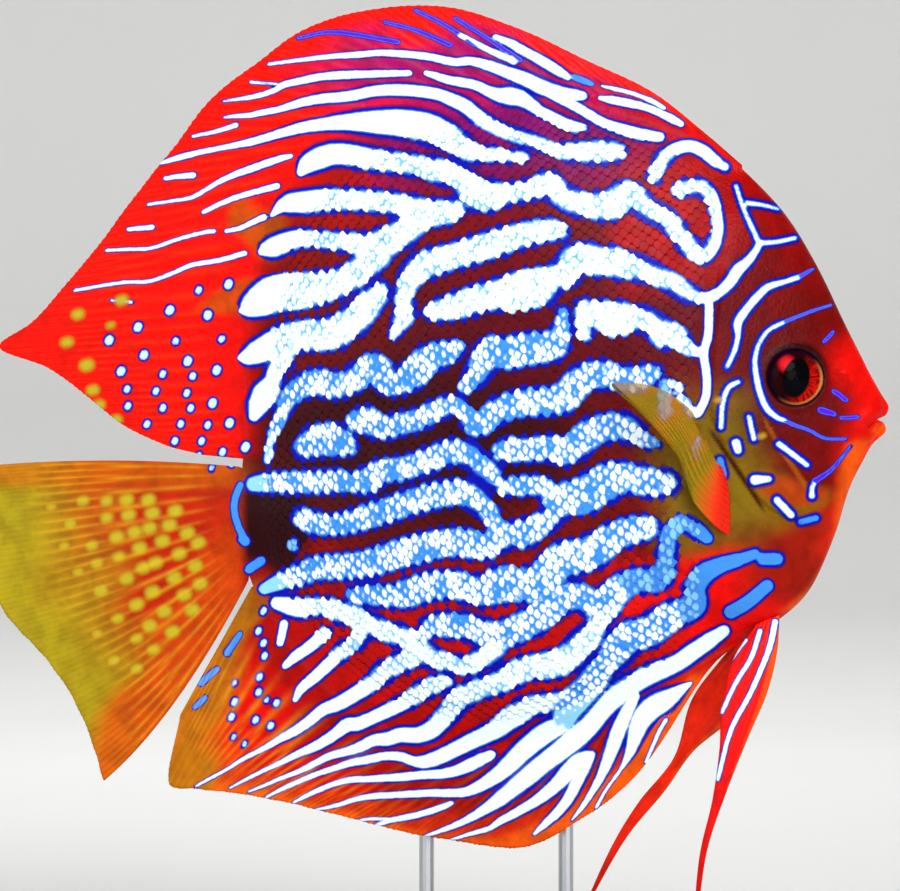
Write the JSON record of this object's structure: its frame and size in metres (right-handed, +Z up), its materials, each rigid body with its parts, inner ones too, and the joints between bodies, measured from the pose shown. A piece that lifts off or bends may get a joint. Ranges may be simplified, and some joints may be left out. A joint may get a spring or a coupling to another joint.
{
  "type": "discus fish display model",
  "caption": "Life-size still model of an adult striped discus fish, a tall thin disc with long red fins, held by slim rods on a flat oval base.",
  "frame": {"origin": "under the middle of the whole model's box, on the underside of the stand's base", "axes": "+X towards the snout, +Y the fish's own left side, +Z up"},
  "size_m": [0.1826, 0.074, 0.1994],
  "materials": {
    "skin": "wet-looking scaled skin, sky-blue bands on dark red",
    "lip": "smooth wet red skin",
    "red_fin": "satin fin membrane over fine rays",
    "tail_fin": "satin olive membrane over fine rays",
    "clear_fin": "thin glossy see-through membrane",
    "eye": "high gloss",
    "stand_wood": "satin dark stain",
    "stand_steel": "brushed"
  },
  "bodies": {
    "root": {"head": "skin", "trunk": "skin", "tail_stem": "skin", "gill_cover_right": "skin", "gill_cover_left": "skin", "upper_lip": "lip", "lower_lip": "lip", "eye_right": "eye", "eye_left": "eye", "dorsal_fin": "red_fin", "anal_fin": "red_fin", "tail_fin": "tail_fin", "pectoral_fin_right": "clear_fin", "pectoral_fin_left": "clear_fin", "pelvic_fin_right": "red_fin", "pelvic_fin_left": "red_fin", "stand_base": "stand_wood", "stand_rod_front": "stand_steel", "stand_rod_rear": "stand_steel"}
  },
  "joints": []
}
